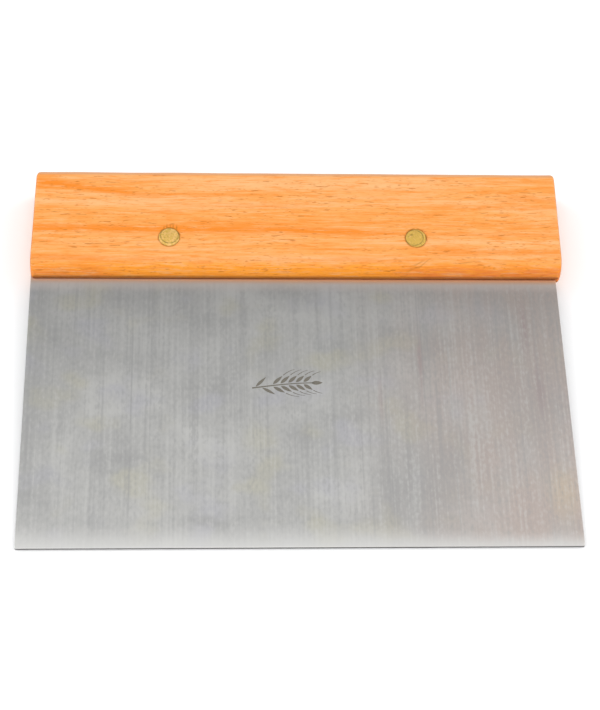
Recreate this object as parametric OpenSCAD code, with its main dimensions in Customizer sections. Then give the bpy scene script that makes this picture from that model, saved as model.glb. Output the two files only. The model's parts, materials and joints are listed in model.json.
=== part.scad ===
// Bench scraper: a stainless steel sheet pinned into a wooden bar handle with two brass rivets.
// It lies on its back, resting along the working edge and along the handle's rounded lower edge.
// X runs along the width, Y from the working edge to the handle, Z up.

/* [Blade] */
// Width of the steel sheet
blade_w = 150; // [100:1:151]
// Height of steel seen below the handle
blade_h = 82; // [70:1:120]
// Thickness of the sheet
blade_t = 1; // [0.8:0.1:1.5]
// Height of steel held inside the handle
tang_h = 20; // [16:1:24]
// Height of the ground strip along the working edge
grind_h = 3; // [3:0.5:6]
// Steel ground off each face at the working edge
grind_relief = 0.06; // [0.02:0.01:0.1]

/* [Handle] */
// Length of the bar
handle_l = 151.5; // [151.5:0.5:170]
// Height of the bar
handle_h = 33.4; // [28:0.1:40]
// Thickness of the bar
handle_t = 10.5; // [10:0.5:14]
// Rounding of the two long top edges
top_round = 0.7; // [0.5:0.1:2]
// Rounding of the bar's corners, seen from the front
corner_round = 1.4; // [0.5:0.1:3]
// Rounding of the four edges at each sawn end
end_round = 0.8; // [0.4:0.1:1.5]
// Space left above the tang at the bottom of the saw kerf
kerf_spare = 1; // [0:0.5:2]
// Play across the kerf, both faces together
kerf_play = 0.1; // [0:0.05:0.2]

/* [Rivets] */
// Diameter of the pins
rivet_d = 6; // [4:0.5:7]
// Distance between the pins
rivet_pitch = 70.7; // [50:0.1:90]
// Height of the pins above the handle's lower edge
rivet_up = 11; // [10:0.5:12]
// Distance that the pair of pins sits to the left of the blade's middle
rivet_offset = 0.6; // [0:0.1:2]
// Height of each hammered head above the wood
rivet_crown = 0.2; // [0.1:0.05:0.25]

/* [Hidden] */
$fn = 96;
crown_fn = 240;
cut_margin = 1;

// The lower edge of the bar is rounded to a full half circle
nose_r = handle_t / 2;
nose_y = blade_h + nose_r;
top_y = blade_h + handle_h;
kerf_h = tang_h + kerf_spare;

// The blade is flush with the handle's left end
blade_x = (blade_w - handle_l) / 2;
rivets_x = blade_x - rivet_offset;
rivet_y = blade_h + rivet_up;

// Sphere that cuts each domed rivet head
crown_r = (pow(rivet_d / 2, 2) + pow(rivet_crown, 2)) / (2 * rivet_crown);
crown_z = handle_t / 2 + rivet_crown - crown_r;

// Lying on its back, the tool touches at the lower corner of its edge and along the round nose
edge_half = blade_t / 2 - grind_relief;
tilt = asin(nose_r / norm([nose_y, edge_half])) - atan(edge_half / nose_y);
rise = edge_half * cos(tilt);

// Ends of the resting outline along Y, for a base centred on the origin
front_y = -edge_half * sin(tilt);
back_y = (top_y - top_round) * cos(tilt) + (handle_t / 2 - top_round) * sin(tilt) + top_round;

// Puts the upright drawing, with the blade's mid-plane at z = 0, into its resting place
module rest_pose() {
    translate([0, -(front_y + back_y) / 2, rise])
        rotate([tilt, 0, 0])
            children();
}

// Extrudes a Y-Z outline along X, centred
module along_x(length) {
    rotate([90, 0, 90])
        linear_extrude(height = length, center = true)
            children();
}

// Rectangle between two corners, with round corners made from true circles
module round_rect(low, high, radius) {
    translate([low.x + radius, low.y])
        square([high.x - low.x - 2 * radius, high.y - low.y]);
    translate([low.x, low.y + radius])
        square([high.x - low.x, high.y - low.y - 2 * radius]);
    for (x = [low.x + radius, high.x - radius])
        for (y = [low.y + radius, high.y - radius])
            translate([x, y])
                circle(r = radius);
}

// Bar section in Y-Z: round nose at the blade's side, eased corners at the top
module bar_section() {
    translate([nose_y, 0])
        circle(r = nose_r);
    intersection() {
        round_rect([blade_h, -handle_t / 2], [top_y, handle_t / 2], top_round);
        translate([nose_y, -handle_t])
            square([handle_h, 2 * handle_t]);
    }
}

// Bar outline in X-Y, with eased corners
module bar_front() {
    linear_extrude(height = 2 * handle_t, center = true)
        round_rect([-handle_l / 2, blade_h], [handle_l / 2, top_y], corner_round);
}

// Bar outline in X-Z, with eased sawn ends
module bar_plan() {
    translate([0, top_y + cut_margin, 0])
        rotate([90, 0, 0])
            linear_extrude(height = handle_h + 2 * cut_margin)
                round_rect([-handle_l / 2, -handle_t / 2], [handle_l / 2, handle_t / 2], end_round);
}

// Two bores, one at each rivet
module rivet_bores() {
    for (side = [-1, 1])
        translate([rivets_x + side * rivet_pitch / 2, rivet_y, 0])
            cylinder(d = rivet_d, h = 2 * handle_t, center = true);
}

// Sawn slot along the whole lower edge
module kerf() {
    translate([0, blade_h + (kerf_h - cut_margin) / 2, 0])
        cube([handle_l + 2 * cut_margin, kerf_h + cut_margin, blade_t + kerf_play], center = true);
}

module handle() {
    color("sandybrown")
        rest_pose()
            difference() {
                intersection() {
                    along_x(handle_l)
                        bar_section();
                    bar_front();
                    bar_plan();
                }
                kerf();
                rivet_bores();
            }
}

// Blade section in Y-Z: flat sheet with a shallow ground strip on both faces at the edge
module blade_section() {
    polygon([
        [0, -edge_half],
        [grind_h, -blade_t / 2],
        [blade_h + tang_h, -blade_t / 2],
        [blade_h + tang_h, blade_t / 2],
        [grind_h, blade_t / 2],
        [0, edge_half]
    ]);
}

module blade() {
    color("darkgray")
        rest_pose()
            difference() {
                translate([blade_x, 0, 0])
                    along_x(blade_w)
                        blade_section();
                rivet_bores();
            }
}

// Solid pin with a low dome hammered on both ends
module rivet(side) {
    color("darkkhaki")
        rest_pose()
            translate([rivets_x + side * rivet_pitch / 2, rivet_y, 0])
                intersection() {
                    cylinder(d = rivet_d, h = handle_t + 2 * rivet_crown, center = true);
                    intersection_for (face = [-1, 1])
                        translate([0, 0, face * crown_z])
                            sphere(r = crown_r, $fn = crown_fn);
                }
}

handle();
blade();
rivet(-1);  // rivet_left
rivet(1);  // rivet_right
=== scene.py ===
import json
import math

import bmesh
import bpy
from mathutils import Matrix, Vector, noise


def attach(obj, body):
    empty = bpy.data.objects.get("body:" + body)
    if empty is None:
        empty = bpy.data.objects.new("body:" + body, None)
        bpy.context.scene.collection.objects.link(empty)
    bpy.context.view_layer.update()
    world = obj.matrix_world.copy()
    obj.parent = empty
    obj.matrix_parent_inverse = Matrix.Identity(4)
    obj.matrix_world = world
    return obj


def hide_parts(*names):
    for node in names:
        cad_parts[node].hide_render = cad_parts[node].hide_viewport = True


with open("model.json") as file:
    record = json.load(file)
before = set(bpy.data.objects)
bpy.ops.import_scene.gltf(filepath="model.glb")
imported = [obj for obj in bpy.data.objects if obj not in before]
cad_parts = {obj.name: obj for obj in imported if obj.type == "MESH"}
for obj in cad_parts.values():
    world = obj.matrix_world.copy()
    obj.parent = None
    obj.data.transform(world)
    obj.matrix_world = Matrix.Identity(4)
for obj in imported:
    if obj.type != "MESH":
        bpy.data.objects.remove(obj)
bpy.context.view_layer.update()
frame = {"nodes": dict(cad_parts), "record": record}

# Bench scraper. Every piece is drawn in the tool's own frame: X along the width, Y from the
# working edge to the handle, Z through the thickness, with z = 0 at the sheet's middle plane.
# One matrix, LAY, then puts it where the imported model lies. Lengths are in metres.

MM = 0.001
ROOT = "root"


# ---------------------------------------------------------------- sizes, from the frame

def mount(name):
    return next(m for m in frame["record"]["mounts"] if m["name"] == name)


up_the_blade = mount("handle_top")["axis"]
TURN = Matrix.Rotation(math.atan2(up_the_blade[2], up_the_blade[1]), 4, "X")


def span(node, placed):
    """Lowest and highest corners of a CAD node, seen in a placed frame."""
    back = placed.inverted()
    points = [back @ v.co for v in frame["nodes"][node].data.vertices]
    low = Vector([min(p[i] for p in points) for i in range(3)])
    high = Vector([max(p[i] for p in points) for i in range(3)])
    return low, high


edge_low, edge_high = span("blade", TURN)
LAY = TURN @ Matrix.Translation((0, edge_low.y, (edge_low.z + edge_high.z) / 2))

blade_low, blade_high = span("blade", LAY)
bar_low, bar_high = span("handle", LAY)

BLADE_T = blade_high.z - blade_low.z
BAR_HALF_L = bar_high.x
BAR_HALF_T = bar_high.z
NOSE_Y = bar_low.y + BAR_HALF_T

# The same small sizes as the CAD source uses
GRIND_H = 3 * MM
GRIND_RELIEF = 0.06 * MM
TOP_ROUND = 0.7 * MM
CORNER_ROUND = 1.4 * MM
END_ROUND = 0.8 * MM
KERF_PLAY = 0.1 * MM
KERF_SPARE = 1.0 * MM


# ---------------------------------------------------------------- material nodes

class Nodes:
    """Short calls that build one material's node tree. A value may be a number or a socket."""

    def __init__(self, name):
        self.material = bpy.data.materials.new(name)
        self.material.use_nodes = True
        self.tree = self.material.node_tree
        self.shader = self.tree.nodes["Principled BSDF"]

    def add(self, kind, **settings):
        node = self.tree.nodes.new(kind)
        for key, value in settings.items():
            setattr(node, key, value)
        return node

    def plug(self, socket, value):
        if isinstance(value, bpy.types.NodeSocket):
            self.tree.links.new(value, socket)
        else:
            socket.default_value = value

    def set(self, **values):
        """Shader inputs by name, with _ for a space."""
        for key, value in values.items():
            self.plug(self.shader.inputs[key.replace("_", " ")], value)

    def place(self):
        """Position on the piece in the tool's frame, in millimetres."""
        to_tool = LAY.inverted()
        node = self.add("ShaderNodeMapping")
        self.plug(node.inputs["Vector"], self.add("ShaderNodeTexCoord").outputs["Object"])
        node.inputs["Scale"].default_value = (1 / MM, 1 / MM, 1 / MM)
        node.inputs["Rotation"].default_value = to_tool.to_euler()
        node.inputs["Location"].default_value = to_tool.translation / MM
        return node.outputs[0]

    def facing(self):
        """The surface normal where the piece lies: its X is the tool's own, its Z 3 degrees off."""
        return self.add("ShaderNodeTexCoord").outputs["Normal"]

    def vector(self, operation, a, b):
        node = self.add("ShaderNodeVectorMath", operation=operation)
        self.plug(node.inputs[0], a)
        self.plug(node.inputs[1], b)
        return node.outputs["Value" if operation == "DISTANCE" else "Vector"]

    def split(self, vector):
        node = self.add("ShaderNodeSeparateXYZ")
        self.plug(node.inputs[0], vector)
        return node.outputs

    def join(self, x, y, z):
        node = self.add("ShaderNodeCombineXYZ")
        for socket, value in zip(node.inputs, (x, y, z)):
            self.plug(socket, value)
        return node.outputs[0]

    def math(self, operation, a, b=0.0):
        node = self.add("ShaderNodeMath", operation=operation)
        self.plug(node.inputs[0], a)
        self.plug(node.inputs[1], b)
        return node.outputs[0]

    def ramp(self, value, low, high, to_low=0.0, to_high=1.0):
        """Smooth step from to_low at low to to_high at high."""
        node = self.add("ShaderNodeMapRange", interpolation_type="SMOOTHSTEP")
        for socket, number in zip(node.inputs, (value, low, high, to_low, to_high)):
            self.plug(socket, number)
        return node.outputs[0]

    def mix(self, factor, a, b):
        """Colour a, with this much of colour b over it."""
        node = self.add("ShaderNodeMix", data_type="RGBA")
        self.plug(node.inputs["Factor"], factor)
        self.plug(node.inputs[6], a)
        self.plug(node.inputs[7], b)
        return node.outputs[2]

    def noise(self, vector, lengths, detail=2.0, roughness=0.5, shift=0.0):
        """Noise from 0 to 1 whose features are about these lengths, in millimetres."""
        stretched = self.vector("MULTIPLY", vector, tuple(1 / n for n in lengths))
        moved = self.vector("ADD", stretched, (shift, shift, shift))
        node = self.add("ShaderNodeTexNoise")
        self.plug(node.inputs["Vector"], moved)
        node.inputs["Scale"].default_value = 1.0
        node.inputs["Detail"].default_value = detail
        node.inputs["Roughness"].default_value = roughness
        return node.outputs[0]

    def oval(self, spot, x, y, half_x, half_y):
        """1 at a place on the X-Y plane, falling to 0 on an oval round it."""
        scaled = self.vector("MULTIPLY", spot, (1 / half_x, 1 / half_y, 0))
        away = self.vector("DISTANCE", scaled, (x / half_x, y / half_y, 0))
        return self.ramp(away, 1.0, 0.0)

    def bump(self, height, strength, distance):
        node = self.add("ShaderNodeBump")
        node.inputs["Strength"].default_value = strength
        node.inputs["Distance"].default_value = distance
        self.plug(node.inputs["Height"], height)
        self.plug(self.shader.inputs["Normal"], node.outputs[0])

    def streak(self, axes, middle, slope, width, start, end, fade):
        """A soft band along X: its height at x = 0, slope, half width, and the stretch it fills."""
        x, y = axes[0], axes[1]
        line = self.math("ADD", self.math("MULTIPLY", x, slope), middle)
        away = self.math("ABSOLUTE", self.math("SUBTRACT", y, line))
        band = self.ramp(away, width, 0.0)
        begins = self.ramp(x, start - fade, start + fade)
        ends = self.ramp(x, end + fade, end - fade)
        return self.math("MULTIPLY", band, self.math("MULTIPLY", begins, ends))


# ---------------------------------------------------------------- materials

PALE_WOOD = (0.828, 0.440, 0.190, 1)
WOOD = (0.822, 0.338, 0.085, 1)
DEEP_WOOD = (0.790, 0.228, 0.020, 1)
# Painted shading for the rounded lower edge
PAINTED_NOSE_SHADING = (0.950, 0.328, 0.020, 1)
RUSSET_WOOD = (0.780, 0.200, 0.044, 1)
# Painted shade and sheen on the rounded top arris
ARRIS_SHADE_AND_SHEEN = (0.570, 0.320, 0.180, 1)
PORE = (0.560, 0.150, 0.012, 1)
DARK_PORE = (0.450, 0.125, 0.008, 1)
# The end grain's own brown, also used as painted shade on the rounded end edges
END_GRAIN_AND_SHADE = (0.540, 0.200, 0.065, 1)
# Dark brown for the feather strokes and torn fibres, and for painted shade round the pin heads
DARK_MARK_AND_SHADE = (0.430, 0.150, 0.012, 1)
# Painted contact shade where the wood meets the steel
CONTACT_SHADE = (0.200, 0.065, 0.014, 1)

# Bands of the figure, in millimetres: height above the handle's lower edge at x = 0, slope,
# half width, where it starts and ends along X, the length of its fade, and its strength
DEEP_BANDS = [
    (13.2, -0.012, 2.4, -90, 26, 14, 1.0),
    (12.4, -0.004, 1.3, 20, 90, 12, 0.55),
    (18.8, -0.148, 1.5, -90, -44, 10, 1.0),
    (25.4, -0.060, 1.9, -90, -66, 5, 1.0),
    (25.2, -0.010, 1.0, -46, -12, 12, 0.5),
    (6.2, 0.0, 2.0, 36, 90, 10, 0.7),
    (3.8, 0.0, 1.2, -6, 32, 10, 0.5),
    (21.8, 0.0, 1.3, 40, 90, 12, 0.6),
    (21.6, 0.0, 1.2, -36, 0, 10, 0.5),
    (24.0, 0.010, 2.6, 60, 90, 8, 0.6),
    (15.6, 0.0, 1.6, 46, 90, 12, 0.35),
    (30.8, 0.0, 1.4, 50, 90, 12, 0.4),
    (27.8, 0.0, 1.2, -90, -60, 8, 0.5),
]
PALE_BANDS = [
    (9.8, -0.004, 1.5, 36, 90, 10, 0.8),
    (29.0, 0.0, 4.0, -34, 44, 16, 0.8),
    (31.2, 0.0, 1.4, -64, 44, 12, 0.6),
    (24.8, 0.0, 1.6, 4, 34, 10, 0.6),
    (4.2, 0.0, 1.4, -70, 24, 12, 0.3),
    (21.8, -0.02, 1.6, -76, -20, 12, 0.5),
    (9.6, 0.0, 1.4, -70, -30, 12, 0.3),
]
# A feather of short dark strokes where the grain turns beside a small knot
FEATHER = [
    (-9.0, 0.32, 0.35, 31.0, 35.0, 1.4, 0.35),
    (-23.4, 0.73, 0.40, 34.5, 37.6, 1.2, 0.38),
    (-8.5, 0.33, 0.35, 32.0, 36.0, 1.4, 0.30),
    (-17.8, 0.60, 0.35, 32.5, 35.6, 1.2, 0.30),
    (-3.2, 0.13, 0.30, 46.0, 50.0, 1.4, 0.45),
]
# Fibres torn out above the left pin: place to the right of its middle, half width, length
TORN_FIBRES = [(-1.5, 0.32, 1.0), (-0.7, 0.34, 2.0), (0.3, 0.30, 1.6), (1.1, 0.36, 2.4), (2.1, 0.34, 1.6)]


def paint_bands(n, axes, bands, colour, paint):
    """Lays one list of bands over a colour."""
    for height, slope, width, start, end, fade, strength in bands:
        middle = bar_low.y / MM + height
        band = n.streak(axes, middle, slope, width, start, end, fade)
        colour = n.mix(n.math("MULTIPLY", band, strength), colour, paint)
    return colour


def rivet_ring_shade_and_tears(n, spot, rivets, radius):
    """Painted shade in a broken ring round each pin's head, and torn fibres above one of them."""
    flat = n.vector("MULTIPLY", spot, (1, 1, 0))
    rings = 0.0
    for centre in rivets:
        away = n.vector("DISTANCE", flat, (centre.x / MM, centre.y / MM, 0))
        # Painted shade in a ring round each head
        rings = n.math("MAXIMUM", rings, n.ramp(away, radius / MM + 0.65, radius / MM + 0.05))
    patchy = n.ramp(n.noise(spot, (1.3, 1.3, 4), 2.0, shift=8.0), 0.36, 0.60, 0.20, 0.85)
    shade_and_tears = n.math("MULTIPLY", rings, patchy)
    x, y = n.split(spot)[:2]
    rim_y = (rivets[0].y + radius) / MM
    for place, half_width, length in TORN_FIBRES:
        aside = n.math("ABSOLUTE", n.math("SUBTRACT", x, rivets[0].x / MM + place))
        above = n.math("MULTIPLY", n.ramp(y, rim_y - 1.2, rim_y - 0.8), n.ramp(y, rim_y + length, rim_y))
        stroke = n.math("MULTIPLY", n.ramp(aside, half_width, 0.0), above)
        shade_and_tears = n.math("MAXIMUM", shade_and_tears, n.math("MULTIPLY", stroke, 0.8))
    return shade_and_tears


def wood_figure(n, broad, axes):
    """The broad figure with its deep and pale bands."""
    colour = n.mix(n.ramp(broad, 0.46, 0.70, 0.0, 0.8), WOOD, PALE_WOOD)
    colour = n.mix(n.ramp(broad, 0.46, 0.28, 0.0, 0.8), colour, DEEP_WOOD)
    colour = paint_bands(n, axes, DEEP_BANDS, colour, DEEP_WOOD)
    return paint_bands(n, axes, PALE_BANDS, colour, PALE_WOOD)


def round_edge(n, spot, colour):
    """Painted shading gives the rounded lower edge a richer colour with a ragged upper limit; it is
    redder at both ends.
    """
    x, y = n.split(spot)[:2]
    low_y = bar_low.y / MM
    ragged = n.noise(spot, (9, 2.5, 2.5), 3.0, shift=27.0)
    nose_y = n.math("ADD", y, n.math("MULTIPLY", ragged, 2.4))
    # Painted shading: the rounded lower edge is coloured brighter and richer
    colour = n.mix(n.ramp(nose_y, low_y + 4.8, low_y + 2.8, 0.0, 0.9), colour, PAINTED_NOSE_SHADING)
    ends = n.math("MAXIMUM", n.ramp(x, 22, 36), n.ramp(x, -46, -60, 0.0, 0.7))
    russet = n.math("MULTIPLY", ends, n.ramp(nose_y, low_y + 4.2, low_y + 1.8, 0.0, 0.9))
    torn_up = n.ramp(n.noise(spot, (5, 0.7, 0.7), 3.0, 0.6, shift=61.0), 0.36, 0.58, 0.35, 1.0)
    return n.mix(n.math("MULTIPLY", russet, torn_up), colour, RUSSET_WOOD)


def broken_grain(n, grain, pale_from, pale_to, colour):
    """Short streaks along the grain, both deeper and paler than the colour below."""
    colour = n.mix(n.ramp(grain, 0.49, 0.32, 0.0, 0.60), colour, DEEP_WOOD)
    return n.mix(n.ramp(grain, pale_from, pale_to, 0.0, 0.60), colour, PALE_WOOD)


def pores(n, spot, waved):
    """Ragged dashes along the grain, crowded in some places: the small ones and the large ones."""
    crowded = n.ramp(n.noise(spot, (24, 5, 5), 2.0, shift=21.0), 0.36, 0.60, 0.30, 1.0)
    small = n.ramp(n.noise(waved, (2.0, 0.40, 0.40), 2.0, shift=2.0), 0.585, 0.71)
    large = n.ramp(n.noise(waved, (3.4, 0.60, 0.60), 2.0, shift=40.0), 0.62, 0.72)
    return n.math("MULTIPLY", small, crowded), n.math("MULTIPLY", large, crowded)


def border_colour_and_shade(n, spot, colour):
    """Browner faces at the ends (end grain, with painted shade on the rounded end edges), painted shade
    and sheen on the top arrises, and painted contact shade where the wood meets the steel.
    """
    y, z = n.split(spot)[1:3]
    end_on = n.math("ABSOLUTE", n.split(n.facing())[0])
    # Faces turned to the ends are browner: end grain on the sawn ends, and painted shade on the rounded
    # end edges
    colour = n.mix(n.ramp(end_on, 0.45, 0.92, 0.0, 0.7), colour, END_GRAIN_AND_SHADE)
    high_y = bar_high.y / MM
    near_top = n.ramp(y, high_y - 1.7, high_y - 0.5, 0.0, 0.85)
    face_z = BAR_HALF_T / MM
    near_face = n.ramp(n.math("ABSOLUTE", z), face_z - 1.2, face_z - 0.5)
    # Painted shade and sheen on the rounded top arris
    colour = n.mix(n.math("MULTIPLY", near_top, near_face), colour, ARRIS_SHADE_AND_SHEEN)
    low_y = bar_low.y / MM
    # Painted contact shade along the lowest strip, where the wood meets the steel
    return n.mix(n.ramp(y, low_y + 0.4, low_y + 0.1, 0.0, 0.75), colour, CONTACT_SHADE)


def lacquered_wood(rivets, radius):
    n = Nodes("lacquered_hardwood")
    spot = n.place()
    x, y, z = n.split(spot)

    # Slow waves move every figure a little, and the bands lean as they go through the bar
    wander = n.math("SUBTRACT", n.noise(spot, (60, 12, 12), 2.0, shift=3.0), 0.5)
    lean = n.math("MULTIPLY", n.math("SUBTRACT", z, BAR_HALF_T / MM), -0.25)
    y_waved = n.math("ADD", n.math("ADD", y, lean), n.math("MULTIPLY", wander, 1.6))
    waved = n.join(x, y_waved, z)

    # Broad figure first, then finer and finer detail over it
    broad = n.noise(waved, (60, 3.4, 3.4), 3.0, 0.6, shift=11.0)
    mottle = n.noise(waved, (7.0, 0.8, 0.8), 3.0, 0.65, shift=33.0)
    fibres = n.noise(waved, (8.0, 0.28, 0.28), 3.0, 0.65, shift=5.0)
    small, large = pores(n, spot, waved)
    colour = wood_figure(n, broad, (x, y_waved))
    colour = round_edge(n, spot, colour)
    colour = broken_grain(n, mottle, 0.52, 0.70, colour)
    colour = broken_grain(n, fibres, 0.53, 0.72, colour)
    colour = paint_bands(n, (x, y), FEATHER, colour, DARK_MARK_AND_SHADE)
    colour = n.mix(n.math("MULTIPLY", small, 0.60), colour, PORE)
    colour = n.mix(n.math("MULTIPLY", large, 0.70), colour, DARK_PORE)
    colour = border_colour_and_shade(n, spot, colour)
    # Painted shade round the pin heads, and the torn fibres above the left one
    colour = n.mix(rivet_ring_shade_and_tears(n, spot, rivets, radius), colour, DARK_MARK_AND_SHADE)

    n.set(Base_Color=colour, Metallic=0.0)
    n.set(Roughness=n.ramp(broad, 0.2, 0.8, 0.50, 0.40))
    n.set(Specular_IOR_Level=0.18)
    height = n.math("SUBTRACT", n.math("MULTIPLY", fibres, 0.4), n.math("ADD", small, large))
    n.bump(height, 0.25, 0.02 * MM)
    return n.material


STEEL = (0.452, 0.450, 0.438, 1.0)
BRIGHT_STEEL = (0.550, 0.548, 0.530, 1.0)
DULL_STEEL = (0.345, 0.343, 0.340, 1.0)
WARM_STEEL = (0.460, 0.388, 0.354, 1.0)
COOL_STEEL = (0.446, 0.444, 0.478, 1.0)
STRAW_STEEL = (0.485, 0.470, 0.380, 1.0)
EDGE_STEEL = (0.650, 0.648, 0.630, 1.0)
RUST_TINT = (0.530, 0.440, 0.340, 1.0)
RED_STEEL = (0.395, 0.300, 0.288, 1.0)
SHEARED_STEEL = (0.140, 0.138, 0.134, 1.0)
JUNCTION_STEEL = (0.720, 0.630, 0.580, 1.0)
TAN_STEEL = (0.690, 0.400, 0.215, 1.0)

# Reddish streaks: centre, half sizes along X and Y (millimetres) and strength
RED_STREAKS = [
    (33.5, 56, 1.5, 20, 0.55),
    (22.0, 44, 1.2, 10, 0.40),
    (63.5, 66, 1.8, 14, 0.75),
    (66.5, 48, 2.0, 16, 0.85),
]

# Soft clouds on the steel, some of which may stand in for reflections: centre, half sizes along
# X and Y (millimetres), strength; above zero is brighter and below zero is duller
CLOUDS = [
    (-38, 62, 22, 16, 0.45),
    (-36, 14, 24, 14, 0.25),
    (-70, 20, 14, 18, -0.30),
    (32, 18, 24, 24, -0.50),
    (64, 36, 16, 22, -0.30),
    (-16, 32, 16, 12, 0.25),
    (-15, 51, 16, 10, -0.25),
    (20, 70, 60, 10, 0.25),
    (-72, 48, 14, 40, -0.25),
    (62, 58, 24, 40, -0.25),
]

# A few darker drag marks: place across the width, half width and strength
DRAG_MARKS = [
    (-46.5, 0.35, 0.55),
    (-41.3, 0.25, 0.40),
    (-15.5, 0.20, 0.25),
    (9.0, 0.70, 0.35),
    (24.0, 0.30, 0.45),
    (34.2, 0.50, 0.40),
    (41.5, 0.35, 0.35),
    (66.5, 0.90, 0.40),
]


def rolled_steel(n, spot):
    """Cloudy patches with faint cool and straw tints."""
    cloud = n.noise(spot, (24, 18, 18), 3.0, 0.6, shift=7.0)
    colour = n.mix(n.ramp(cloud, 0.50, 0.68, 0.0, 0.72), STEEL, BRIGHT_STEEL)
    colour = n.mix(n.ramp(cloud, 0.50, 0.32, 0.0, 0.58), colour, DULL_STEEL)
    band = n.noise(spot, (7, 45, 20), 2.0, shift=43.0)
    colour = n.mix(n.ramp(band, 0.46, 0.28, 0.0, 0.40), colour, DULL_STEEL)
    tint = n.noise(spot, (17, 13, 13), 2.0, shift=31.0)
    colour = n.mix(n.ramp(tint, 0.54, 0.70, 0.0, 0.60), colour, COOL_STEEL)
    return n.mix(n.ramp(tint, 0.46, 0.30, 0.0, 0.60), colour, STRAW_STEEL)


def warm_tints(n, spot, colour):
    """A warm cast towards the right, one rusty patch and the reddish streaks."""
    x = n.split(spot)[0]
    patches = n.noise(spot, (8, 30, 30), 2.0, shift=13.0)
    warm = n.math("MULTIPLY", n.ramp(x, 5, 60), n.ramp(patches, 0.25, 0.6, 0.35, 0.9))
    colour = n.mix(warm, colour, WARM_STEEL)
    stain = n.math("MULTIPLY", n.oval(spot, 70, 15, 6, 12), n.ramp(patches, 0.25, 0.6, 0.3, 1.0))
    colour = n.mix(stain, colour, RUST_TINT)
    ragged = n.ramp(n.noise(spot, (0.9, 12, 12), 2.0, shift=57.0), 0.30, 0.60, 0.25, 1.0)
    for middle_x, middle_y, half_x, half_y, strength in RED_STREAKS:
        streak = n.math("MULTIPLY", n.oval(spot, middle_x, middle_y, half_x, half_y), strength)
        colour = n.mix(n.math("MULTIPLY", streak, ragged), colour, RED_STEEL)
    return colour


def soft_clouds(n, spot, colour):
    for middle_x, middle_y, half_x, half_y, strength in CLOUDS:
        cloud = n.oval(spot, middle_x, middle_y, half_x, half_y)
        share = n.math("MULTIPLY", cloud, abs(strength))
        colour = n.mix(share, colour, BRIGHT_STEEL if strength > 0 else DULL_STEEL)
    return colour


def brush_lines(n, spot):
    """Lines that run from the handle to the edge, with shorter scratches among them, 0 to 1."""
    fine = n.noise(spot, (0.70, 50, 20), 1.0, 0.5, shift=17.0)
    coarse = n.noise(spot, (2.2, 90, 20), 3.0, 0.6, shift=23.0)
    short = n.noise(spot, (0.90, 1.5, 20), 2.0, 0.5, shift=37.0)
    lines = n.math("ADD", n.math("MULTIPLY", fine, 0.30), n.math("MULTIPLY", coarse, 0.33))
    return n.math("ADD", lines, n.math("MULTIPLY", short, 0.37))


def drag_marks(n, spot, colour):
    x = n.split(spot)[0]
    broken = n.ramp(n.noise(spot, (3, 22, 20), 2.0, shift=29.0), 0.35, 0.6, 0.25, 1.0)
    for place_x, half_width, strength in DRAG_MARKS:
        away = n.math("ABSOLUTE", n.math("SUBTRACT", x, place_x))
        mark = n.math("MULTIPLY", n.ramp(away, half_width, 0.0), broken)
        colour = n.mix(n.math("MULTIPLY", mark, strength), colour, DULL_STEEL)
    return colour


def steel_borders(n, spot, colour):
    """What differs along the working edge, beside the handle and on the sheared ends."""
    x, y = n.split(spot)[:2]
    # The steel grows brighter towards the working edge, over less of its height at the right
    strip_y = n.ramp(x, 5, 60, 8.0, 5.0)
    colour = n.mix(n.ramp(y, strip_y, -1.0, 0.0, 0.8), colour, EDGE_STEEL)

    # Beside the handle it is brighter and then tan. This stands in for the bar's blurred reflection
    junction = bar_low.y / MM
    colour = n.mix(n.ramp(y, junction - 5.0, junction - 1.5, 0.0, 0.50), colour, JUNCTION_STEEL)
    reflected = n.ramp(y, junction - 2.2, junction - 0.4, 0.0, n.ramp(x, -75, 30, 0.54, 0.86))
    colour = n.mix(reflected, colour, TAN_STEEL)

    flat_on = n.math("ABSOLUTE", n.split(n.facing())[2])
    return n.mix(n.ramp(flat_on, 0.75, 0.35), colour, SHEARED_STEEL)


def brushed_stainless():
    n = Nodes("brushed_stainless")
    spot = n.place()
    lines = brush_lines(n, spot)
    colour = rolled_steel(n, spot)
    colour = warm_tints(n, spot, colour)
    colour = soft_clouds(n, spot, colour)
    colour = n.mix(n.ramp(lines, 0.51, 0.37, 0.0, 0.47), colour, DULL_STEEL)
    colour = n.mix(n.ramp(lines, 0.49, 0.63, 0.0, 0.47), colour, BRIGHT_STEEL)
    colour = drag_marks(n, spot, colour)
    colour = steel_borders(n, spot, colour)

    n.set(Base_Color=colour, Metallic=1.0)
    n.set(Roughness=n.ramp(lines, 0.3, 0.7, 0.34, 0.28))
    n.set(Anisotropic=0.45)
    tangent = n.add("ShaderNodeTangent", direction_type="UV_MAP", uv_map="brush")
    n.plug(n.shader.inputs["Tangent"], tangent.outputs[0])
    n.bump(lines, 0.25, 0.01 * MM)
    return n.material


BRASS = (0.86, 0.53, 0.175, 1.0)
OLIVE_BRASS = (0.66, 0.42, 0.085, 1.0)
DARK_BRASS = (0.30, 0.19, 0.04, 1.0)

# The line left where each head was burred over: how far its circle sits off the pin's middle
# along X and Y, in millimetres
BURR_LINES = [(0.10, 0.50), (-0.50, 0.10)]


def burr_lines(n, spot, rivets, radius):
    """Dark arcs on the heads, 1 on each arc."""
    flat = n.vector("MULTIPLY", spot, (1, 1, 0))
    line_r = 0.86 * radius / MM
    arcs = 0.0
    for centre, (aside, above) in zip(rivets, BURR_LINES):
        away = n.vector("DISTANCE", flat, (centre.x / MM + aside, centre.y / MM + above, 0))
        off_line = n.math("ABSOLUTE", n.math("SUBTRACT", away, line_r))
        arcs = n.math("MAXIMUM", arcs, n.ramp(off_line, 0.30, 0.0))
    return arcs


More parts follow.
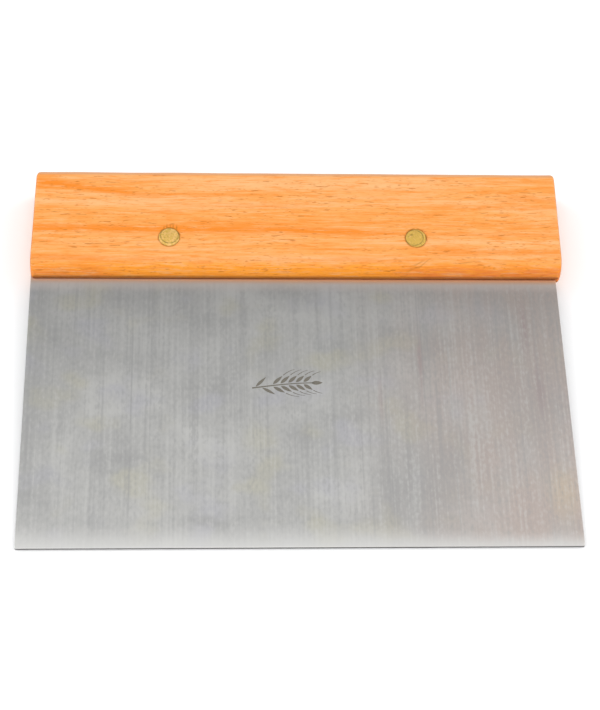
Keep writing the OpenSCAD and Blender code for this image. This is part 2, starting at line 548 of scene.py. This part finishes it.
def hammered_brass(rivets, radius):
    n = Nodes("hammered_brass")
    spot = n.place()
    # The right pin is more tarnished than the left one
    tarnish = n.ramp(n.split(spot)[0], -1.0, 1.0, 0.0, 0.14)
    patch = n.math("SUBTRACT", n.noise(spot, (0.8, 0.8, 0.8), 3.0, 0.6, shift=4.0), tarnish)
    colour = n.mix(n.ramp(patch, 0.38, 0.62), OLIVE_BRASS, BRASS)
    broken = n.ramp(n.noise(spot, (1.1, 1.1, 1.1), 2.0, shift=51.0), 0.34, 0.60, 0.40, 0.90)
    colour = n.mix(n.math("MULTIPLY", burr_lines(n, spot, rivets, radius), broken), colour, DARK_BRASS)
    pits = n.noise(spot, (0.5, 0.5, 0.5), 2.0, shift=15.0)
    colour = n.mix(n.ramp(pits, 0.42, 0.26, 0.0, 0.6), colour, DARK_BRASS)
    # The right pin's dent has gone dark
    right = rivets[1] / MM
    dent = n.math("MULTIPLY", n.oval(spot, right.x - 1.2, right.y + 1.1, 0.8, 0.7), 0.6)
    colour = n.mix(dent, colour, DARK_BRASS)
    n.set(Base_Color=colour, Metallic=0.6)
    n.set(Roughness=n.ramp(patch, 0.3, 0.7, 0.58, 0.42))
    n.bump(pits, 0.35, 0.04 * MM)
    return n.material


ETCH_DARK = (0.11, 0.10, 0.08, 1)
ETCH_LIGHT = (0.22, 0.205, 0.17, 1)


def etched_steel():
    n = Nodes("etched_steel")
    grain = n.noise(n.place(), (0.3, 0.3, 0.3), 2.0)
    n.set(Base_Color=n.mix(grain, ETCH_DARK, ETCH_LIGHT))
    n.set(Metallic=0.4, Roughness=0.65)
    n.bump(grain, 0.3, 0.01 * MM)
    return n.material


FLOOR_GREY = (0.94, 0.94, 0.94, 1)
FLOOR_WHITE = (0.96, 0.96, 0.96, 1)


def studio_floor():
    n = Nodes("studio_floor")
    fleck = n.noise(n.place(), (40, 40, 40), 2.0)
    n.set(Base_Color=n.mix(fleck, FLOOR_GREY, FLOOR_WHITE))
    n.set(Roughness=0.9, Specular_IOR_Level=0.1)
    return n.material


# ---------------------------------------------------------------- mesh helpers

SHARP = math.radians(32)
BORE_SIDES = 64


def lay_down(bm, name):
    """Moves a bmesh from the tool's frame to the model's place and makes it an object."""
    bm.transform(LAY)
    mesh = bpy.data.meshes.new(name)
    bm.to_mesh(mesh)
    bm.free()
    made = bpy.data.objects.new(name, mesh)
    bpy.context.scene.collection.objects.link(made)
    return made


def finish_mesh(bm, name, material):
    """Turns a bmesh drawn in the tool's frame into a piece that rides on the body."""
    bmesh.ops.recalc_face_normals(bm, faces=bm.faces)
    for face in bm.faces:
        face.smooth = True
    for edge in bm.edges:
        if len(edge.link_faces) == 2:
            edge.smooth = edge.calc_face_angle(0.0) < SHARP
    piece = lay_down(bm, name)
    piece.data.materials.append(material)
    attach(piece, ROOT)
    return piece


def bridge(bm, ring_a, ring_b):
    """Faces between two rings with the same number of vertices."""
    for i in range(len(ring_a)):
        bm.faces.new((ring_a[i - 1], ring_a[i], ring_b[i], ring_b[i - 1]))


def loft(bm, rings):
    """A closed solid through equal rings of points, with a flat face at each end."""
    rows = [[bm.verts.new(p) for p in ring] for ring in rings]
    for a, b in zip(rows, rows[1:]):
        bridge(bm, a, b)
    caps = [bm.faces.new(rows[0]), bm.faces.new(rows[-1])]
    bmesh.ops.triangulate(bm, faces=caps)


def drill(piece, cutters):
    """Takes the cutters' solids out of a piece for good."""
    for cutter in cutters:
        modifier = piece.modifiers.new("bore", "BOOLEAN")
        modifier.operation = "DIFFERENCE"
        modifier.solver = "EXACT"
        modifier.object = cutter
    bpy.context.view_layer.update()
    shaped = piece.evaluated_get(bpy.context.evaluated_depsgraph_get())
    drilled = bpy.data.meshes.new_from_object(shaped)
    piece.modifiers.clear()
    piece.data = drilled
    for cutter in cutters:
        bpy.data.objects.remove(cutter)


def circle(centre, radius, z, sides):
    """Points of a circle about Z."""
    turns = [2 * math.pi * i / sides for i in range(sides)]
    return [Vector((centre.x + radius * math.cos(t), centre.y + radius * math.sin(t), z)) for t in turns]


def lathe_cutter(centre, profile):
    """A solid of revolution about Z through a centre, from (radius, z) points."""
    bm = bmesh.new()
    loft(bm, [circle(centre, radius, z, BORE_SIDES) for radius, z in profile])
    bmesh.ops.recalc_face_normals(bm, faces=bm.faces)
    return lay_down(bm, "cutter")


def round_in(distance, radius):
    """How far a rounded edge has drawn in, at a distance from its end."""
    if distance >= radius:
        return 0.0
    return radius - math.sqrt(radius ** 2 - (radius - distance) ** 2)


def stations(low, high, radius, steps, pitch):
    """Places from low to high: close together within a radius of each end, then a pitch apart."""
    near = [radius * (1 - math.cos(math.pi / 2 * i / steps)) for i in range(steps + 1)]
    count = max(1, round((high - low - 2 * radius) / pitch))
    middle = [low + radius + (high - low - 2 * radius) * i / count for i in range(1, count)]
    return [low + d for d in near] + middle + [high - d for d in reversed(near)]


# ---------------------------------------------------------------- handle

LIP_ROUND = 0.22 * MM
LIP_STEPS = 3
NOSE_STEPS = 18
FACE_ROWS = 14
ROUND_STEPS = 6
END_STEPS = 8
BAR_PITCH = 1.5 * MM
SANDING = 0.05 * MM
FLARE = 0.08 * MM
BORE_PLAY = 0.02 * MM
OUT_OF_SQUARE = 0.015


def bar_half_outline(inset_y, inset_z, top_round):
    """(y, z) points of the bar's front half, from the kerf's floor round to the top's middle."""
    kerf = (BLADE_T + KERF_PLAY) / 2
    kerf_floor = blade_high.y + KERF_SPARE
    half = BAR_HALF_T - inset_z
    low = bar_low.y + inset_y
    high = bar_high.y - inset_y
    nose_depth = NOSE_Y - low
    points = [(kerf_floor, kerf), ((kerf_floor + low) / 2, kerf)]
    for i in range(LIP_STEPS + 1):
        turn = math.pi / 2 * i / LIP_STEPS
        points.append((low + LIP_ROUND * (1 - math.sin(turn)), kerf + LIP_ROUND * (1 - math.cos(turn))))
    first = math.asin((kerf + LIP_ROUND) / half)
    for i in range(1, NOSE_STEPS + 1):
        turn = first + (math.pi / 2 - first) * i / NOSE_STEPS
        points.append((NOSE_Y - nose_depth * math.cos(turn), half * math.sin(turn)))
    face_top = high - top_round
    for i in range(1, FACE_ROWS):
        points.append((NOSE_Y + (face_top - NOSE_Y) * i / FACE_ROWS, half))
    for i in range(ROUND_STEPS + 1):
        turn = math.pi / 2 * i / ROUND_STEPS
        points.append((face_top + top_round * math.sin(turn), half - top_round * (1 - math.cos(turn))))
    return points


def sand(bm):
    """Takes slow, shallow waves off the outside, away from the ends and the kerf."""
    skin = (BLADE_T + KERF_PLAY) / 2 + 2 * LIP_ROUND
    for v in bm.verts:
        if abs(v.co.z) > skin and abs(v.co.x) < BAR_HALF_L - CORNER_ROUND:
            wave = noise.fractal(v.co / (11 * MM), 1.0, 2.0, 2)
            v.co -= v.normal * SANDING * (0.5 + 0.5 * max(-1.0, min(1.0, wave)))


def flared_bore(radius):
    """(radius, z) points of a cutter whose bore opens out a little at both faces."""
    front = [
        (radius + BORE_PLAY, BAR_HALF_T - 2 * FLARE),
        (radius + FLARE, BAR_HALF_T),
        (radius + 2 * FLARE, BAR_HALF_T + 2 * FLARE),
    ]
    return [(r, -z) for r, z in reversed(front)] + front


def build_handle(material, centres, radius):
    bm = bmesh.new()
    rings = []
    for x in stations(-BAR_HALF_L, BAR_HALF_L, CORNER_ROUND, END_STEPS, BAR_PITCH):
        from_end = BAR_HALF_L - abs(x)
        worn = TOP_ROUND * (1.0 + 0.25 * noise.noise(Vector((x / (14 * MM), 3.0, 0.0))))
        half = bar_half_outline(round_in(from_end, CORNER_ROUND), round_in(from_end, END_ROUND), worn)
        back = [(y, -z) for y, z in reversed(half)]
        rings.append([Vector((x, y, z)) for y, z in half + back])
    loft(bm, rings)
    # Both ends are sawn a little out of square, so the bar leans to the right towards its top
    for v in bm.verts:
        v.co.x += OUT_OF_SQUARE * (v.co.y - NOSE_Y)
    bmesh.ops.recalc_face_normals(bm, faces=bm.faces)
    bm.normal_update()
    sand(bm)
    handle = finish_mesh(bm, "handle_bar", material)
    drill(handle, [lathe_cutter(c, flared_bore(radius)) for c in centres])
    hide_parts("handle")


# ---------------------------------------------------------------- blade

ARRIS = 0.09 * MM
BLADE_CORNER = 0.35 * MM
SHEET_ROWS = 40
CORNER_STEPS = 6
SHEET_PITCH = 1.6 * MM

# The warp's height, and how far from the handle and from the working edge it takes to grow
WARP = 0.03 * MM
HANDLE_FADE = 30 * MM
EDGE_FADE = 8 * MM

# The brush map only shows which way the steel was brushed, so its scale is free
BRUSH_SCALE = 5


def blade_half_outline(inset_y, inset_z):
    """(y, z) points of the sheet's front half, from the tang's end to the working edge."""
    low = blade_low.y + inset_y
    high = blade_high.y - inset_y
    half = BLADE_T / 2 - inset_z
    edge = half - GRIND_RELIEF
    points = [(high, 0.0), (high, half - ARRIS), (high - ARRIS * 0.3, half - ARRIS * 0.3)]
    top = high - ARRIS
    for i in range(SHEET_ROWS + 1):
        points.append((top + (low + GRIND_H - top) * i / SHEET_ROWS, half))
    for share in (0.25, 0.5, 0.75):
        points.append((low + GRIND_H * (1 - share), half - GRIND_RELIEF * share ** 2))
    points.append((low + ARRIS, edge))
    points.append((low + ARRIS * 0.3, edge - ARRIS * 0.3))
    points.append((low, edge - ARRIS))
    return points


def warp(p):
    """Bends the sheet a little at a point, and not at all in the kerf or at the working edge."""
    free = max(0.0, min(1.0, (bar_low.y - p.y) / HANDLE_FADE))
    free *= max(0.0, min(1.0, (p.y - blade_low.y) / EDGE_FADE))
    p.z += WARP * free * noise.noise(Vector((p.x / (26 * MM), p.y / (19 * MM), 1.7)))


def build_blade(material, centres, radius):
    bm = bmesh.new()
    rings = []
    for x in stations(blade_low.x, blade_high.x, BLADE_CORNER, CORNER_STEPS, SHEET_PITCH):
        from_end = min(x - blade_low.x, blade_high.x - x)
        half = blade_half_outline(round_in(from_end, BLADE_CORNER), round_in(from_end, ARRIS))
        back = [(y, -z) for y, z in reversed(half[1:])]
        rings.append([Vector((x, y, z)) for y, z in half + back])
    for ring in rings:
        for p in ring:
            warp(p)
    loft(bm, rings)
    brush = bm.loops.layers.uv.new("brush")
    for face in bm.faces:
        for corner in face.loops:
            corner[brush].uv = corner.vert.co.xy * BRUSH_SCALE
    blade = finish_mesh(bm, "blade_sheet", material)
    profile = [(radius, -BLADE_T), (radius, BLADE_T)]
    drill(blade, [lathe_cutter(c, profile) for c in centres])
    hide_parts("blade")


# ---------------------------------------------------------------- rivets

RIM_RINGS = 14
RIM_SIDES = 72
HAMMERED = 0.06 * MM
# The rim rolls down over the outer part of a head, and the shank starts below it, a little thinner
RIM_DROP = 0.05 * MM
RIM_START = 0.9
NECK_DEPTH = 0.45 * MM
SHANK_SHARE = 0.995

# Dents in the front heads: place to the right of and above the middle, radius and depth
LEFT_DENTS = [(0.5 * MM, 1.6 * MM, 0.9 * MM, 0.10 * MM), (1.9 * MM, 0.4 * MM, 0.6 * MM, 0.08 * MM)]
RIGHT_DENTS = [(-1.4 * MM, 1.3 * MM, 0.8 * MM, 0.16 * MM)]
# How far from the middle the right pin's front head is filed flat, on its right side
RIGHT_FLAT = 2.75 * MM


def head_height(x, y, radius, crown, seed, dents):
    """How far a hammered head stands above the wood at a place on it."""
    away = math.hypot(x, y) / radius
    dome = crown * (1 - away ** 2)
    facets = noise.noise(Vector((x / (0.9 * MM), y / (0.9 * MM), seed)))
    facets += 0.5 * noise.noise(Vector((x / (0.4 * MM), y / (0.4 * MM), seed + 5)))
    height = dome - HAMMERED * (0.5 + 0.5 * facets)
    for dent_x, dent_y, dent_r, depth in dents:
        d = math.hypot(x - dent_x, y - dent_y) / dent_r
        height -= depth * max(0.0, 1 - d * d)
    return height


def rim_radius(turn, radius, seed, flat):
    """Distance from a head's middle to its uneven rim, which may be filed flat on the right."""
    wobble = noise.noise(Vector((math.cos(turn) * 2, math.sin(turn) * 2, seed)))
    uneven = radius * (1 - 0.02 * (1 + wobble))
    if flat is not None and math.cos(turn) > 0.1:
        return min(uneven, flat / math.cos(turn))
    return uneven


def add_head(bm, centre, radius, crown, side, seed, dents, flat):
    """A hammered head on the front (side 1) or the back (side -1). Returns its rim."""
    def head_vert(x, y, drop):
        lift = head_height(x, y, radius, crown, seed + 9 * side, dents)
        return bm.verts.new((centre.x + x, centre.y + y, side * (BAR_HALF_T + lift - drop)))

    rings = []
    for k in range(1, RIM_RINGS + 1):
        share = k / RIM_RINGS
        drop = RIM_DROP * max(0.0, (share - RIM_START) / (1 - RIM_START)) ** 2
        ring = []
        for i in range(RIM_SIDES):
            turn = 2 * math.pi * i / RIM_SIDES
            r = rim_radius(turn, radius, seed + side, flat) * share
            ring.append(head_vert(r * math.cos(turn), r * math.sin(turn), drop))
        rings.append(ring)
    hub = head_vert(0, 0, 0)
    for i in range(RIM_SIDES):
        bm.faces.new((hub, rings[0][i - 1], rings[0][i]))
    for a, b in zip(rings, rings[1:]):
        bridge(bm, a, b)
    return rings[-1]


def build_rivet(node, material, seed, dents, flat):
    """A pin with two hammered heads. The dents and the flat are on its front head only."""
    low, high = span(node, LAY)
    centre = (low + high) / 2
    radius = (high.x - low.x) / 2
    crown = high.z - BAR_HALF_T
    bm = bmesh.new()
    front = add_head(bm, centre, radius, crown, 1, seed, dents, flat)
    back = add_head(bm, centre, radius, crown, -1, seed, [], None)
    neck_z = BAR_HALF_T - NECK_DEPTH
    necks = [circle(centre, radius * SHANK_SHARE, z, RIM_SIDES) for z in (neck_z, -neck_z)]
    rings = [front, *([bm.verts.new(p) for p in neck] for neck in necks), back]
    for a, b in zip(rings, rings[1:]):
        bridge(bm, a, b)
    rivet = finish_mesh(bm, "hammered_" + node, material)
    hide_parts(node)


# ---------------------------------------------------------------- etched wheat-ear mark

MARK_CENTRE = Vector((-3.2 * MM, 48.0 * MM, 0))
MARK_LENGTH = 17.0 * MM
MARK_DEPTH = 0.012 * MM
GRAIN_PAIRS = 5
STEM_STEPS = 24
OVAL_STEPS = 12
AWN_STEPS = 6

# In degrees: how far the grains and leaves lean off the stem, and how far an awn curls back
GRAIN_LEAN = 37
LEAF_LEAN = 38
AWN_CURL = 14


def add_plate(bm, outline):
    """A very thin solid with this outline, sunk into the sheet's front face."""
    z = BLADE_T / 2
    low = [bm.verts.new((p.x, p.y, z - MARK_DEPTH * 3)) for p in outline]
    high = [bm.verts.new((p.x, p.y, z + MARK_DEPTH)) for p in outline]
    bm.faces.new(high)
    bm.faces.new(list(reversed(low)))
    bridge(bm, low, high)


def across(direction):
    return Vector((-direction.y, direction.x, 0))


def grain_outline(base, direction, length, width):
    """Pointed oval of one wheat grain, from its base outwards."""
    left, right = [], []
    for i in range(OVAL_STEPS + 1):
        share = i / OVAL_STEPS
        swell = across(direction) * math.sin(math.pi * share ** 0.8) * width / 2
        left.append(base + direction * length * share + swell)
        right.append(base + direction * length * share - swell)
    return left + list(reversed(right[1:-1]))


def stroke_outline(points, start_width, end_width):
    """A line drawn through points, with a width that changes evenly along it."""
    left, right = [], []
    last = len(points) - 1
    for i, p in enumerate(points):
        along = (points[min(last, i + 1)] - points[max(0, i - 1)]).normalized()
        half = across(along) * (start_width + (end_width - start_width) * i / last) / 2
        left.append(p + half)
        right.append(p - half)
    return left + list(reversed(right))


def turned(direction, degrees):
    return Matrix.Rotation(math.radians(degrees), 3, "Z") @ direction


def stem(share):
    """A point on the bowed stem, from 0 at its foot to 1 at its tip."""
    foot = MARK_CENTRE - Vector((10.2 * MM, 1.0 * MM, 0))
    return foot + Vector((MARK_LENGTH * share, 1.6 * MM * math.sin(1.5 * share), 0))


def heading(share):
    return (stem(share + 0.02) - stem(share)).normalized()


def add_grain(bm, k, side):
    """One grain of the ear, with its awn."""
    share = 0.34 + 0.62 * k / GRAIN_PAIRS
    size = 1.0 - 0.25 * k / GRAIN_PAIRS
    outward = turned(heading(share), side * GRAIN_LEAN)
    base = stem(share) + across(heading(share)) * side * 0.40 * MM
    add_plate(bm, grain_outline(base, outward, 3.7 * MM * size, 1.00 * MM))
    tip = base + outward * 4.0 * MM * size
    reach = 3.4 * MM * (1.1 - 0.4 * k / GRAIN_PAIRS)
    curl = -side * AWN_CURL
    awn = [tip + turned(outward, curl * i / AWN_STEPS) * reach * i / AWN_STEPS
           for i in range(AWN_STEPS + 1)]
    add_plate(bm, stroke_outline(awn, 0.24 * MM, 0.10 * MM))


def add_leaf(bm, share, side):
    base = stem(share) + across(heading(share)) * side * 0.28 * MM
    outward = turned(heading(share), side * LEAF_LEAN)
    add_plate(bm, grain_outline(base, outward, 4.2 * MM, 0.85 * MM))


def build_mark(material):
    """A generic ear of wheat lying on its side, with its awns and two leaves."""
    bm = bmesh.new()
    line = [stem(i / STEM_STEPS) for i in range(STEM_STEPS + 1)]
    add_plate(bm, stroke_outline(line, 0.40 * MM, 0.30 * MM))
    for k in range(GRAIN_PAIRS):
        for side in (-1, 1):
            add_grain(bm, k, side)
    add_plate(bm, grain_outline(stem(0.96), heading(0.96), 3.2 * MM, 1.2 * MM))
    add_leaf(bm, 0.06, 1)
    add_leaf(bm, 0.16, -1)
    finish_mesh(bm, "etched_wheat_mark", material)


# ---------------------------------------------------------------- studio

# The floor ends where its own brightness has fallen to that of the studio's white walls
FLOOR_RADIUS = 0.95


def build_floor():
    bpy.ops.mesh.primitive_circle_add(vertices=128, radius=FLOOR_RADIUS, fill_type="NGON")
    floor = bpy.context.active_object
    floor.name = "floor"
    floor.data.materials.append(studio_floor())


def add_softbox(name, position, target, width, depth, brightness):
    """A rectangular lamp of one brightness, as seen from in front of it."""
    light = bpy.data.lights.new(name, "AREA")
    light.shape = "RECTANGLE"
    light.size = width
    light.size_y = depth
    light.energy = brightness * math.pi * width * depth
    lamp = bpy.data.objects.new(name, light)
    bpy.context.scene.collection.objects.link(lamp)
    lamp.location = position
    lamp.rotation_euler = (Vector(target) - Vector(position)).to_track_quat("-Z", "Y").to_euler()


# The studio's white walls give way to a darker ceiling: heights (sine of the angle above the
# floor) where the change starts and ends, and the brightness of each
WALL_TO_CEILING = (0.45, 0.75, 0.85, 0.25)


def build_world():
    world = bpy.data.worlds.new("studio")
    bpy.context.scene.world = world
    world.use_nodes = True
    tree = world.node_tree
    background = tree.nodes["Background"]
    background.inputs["Color"].default_value = (0.98, 0.985, 1.0, 1.0)
    direction = tree.nodes.new("ShaderNodeSeparateXYZ")
    tree.links.new(tree.nodes.new("ShaderNodeTexCoord").outputs["Generated"], direction.inputs[0])
    brightness = tree.nodes.new("ShaderNodeMapRange")
    for socket, value in zip(brightness.inputs[1:5], WALL_TO_CEILING):
        socket.default_value = value
    tree.links.new(direction.outputs[2], brightness.inputs[0])
    tree.links.new(brightness.outputs[0], background.inputs["Strength"])


def build_lights():
    """The overhead box's near border gives the steel its gradient; the others light the wood."""
    add_softbox("overhead", (0.0, -0.15, 0.80), (0, -0.15, 0), 1.5, 1.14, 0.83)
    add_softbox("key", (-0.10, -0.60, 0.85), (0, 0, 0), 0.7, 0.5, 1.8)
    for side in (-1, 1):
        add_softbox("side", (side * 1.2, 0.35, 0.65), (0, 0, 0), 0.9, 1.3, 2.2)


def build_camera():
    """The viewpoint: above the working edge, a little to the left, and slightly rolled."""
    elevation, azimuth, roll = (math.radians(a) for a in (58.29, -5.74, 4.96))
    target = Vector((0.27, 2.01, 0.0)) * MM
    distance = 472.2 * MM
    away = Vector((math.sin(azimuth) * math.cos(elevation),
                   -math.cos(azimuth) * math.cos(elevation),
                   math.sin(elevation)))
    camera = bpy.data.cameras.new("camera")
    camera.sensor_width = 36
    camera.lens = 85.1
    camera.clip_start = 0.01
    rig = bpy.data.objects.new("camera", camera)
    bpy.context.scene.collection.objects.link(rig)
    look = (-away).to_track_quat("-Z", "Y").to_matrix().to_4x4()
    rig.matrix_world = Matrix.Translation(target + away * distance) @ look @ Matrix.Rotation(roll, 4, "Z")
    bpy.context.scene.camera = rig


# ---------------------------------------------------------------- the whole scene

build_camera()
build_world()
build_lights()
build_floor()

rivet_spans = [span(node, LAY) for node in ("rivet_left", "rivet_right")]
rivet_centres = [(low + high) / 2 for low, high in rivet_spans]
rivet_radius = (rivet_spans[0][1].x - rivet_spans[0][0].x) / 2

build_handle(lacquered_wood(rivet_centres, rivet_radius), rivet_centres, rivet_radius)
build_blade(brushed_stainless(), rivet_centres, rivet_radius)
brass = hammered_brass(rivet_centres, rivet_radius)
build_rivet("rivet_left", brass, 2.0, LEFT_DENTS, None)
build_rivet("rivet_right", brass, 7.0, RIGHT_DENTS, RIGHT_FLAT)
build_mark(etched_steel())

bpy.context.scene.view_settings.view_transform = "Standard"
bpy.context.scene.view_settings.look = "None"
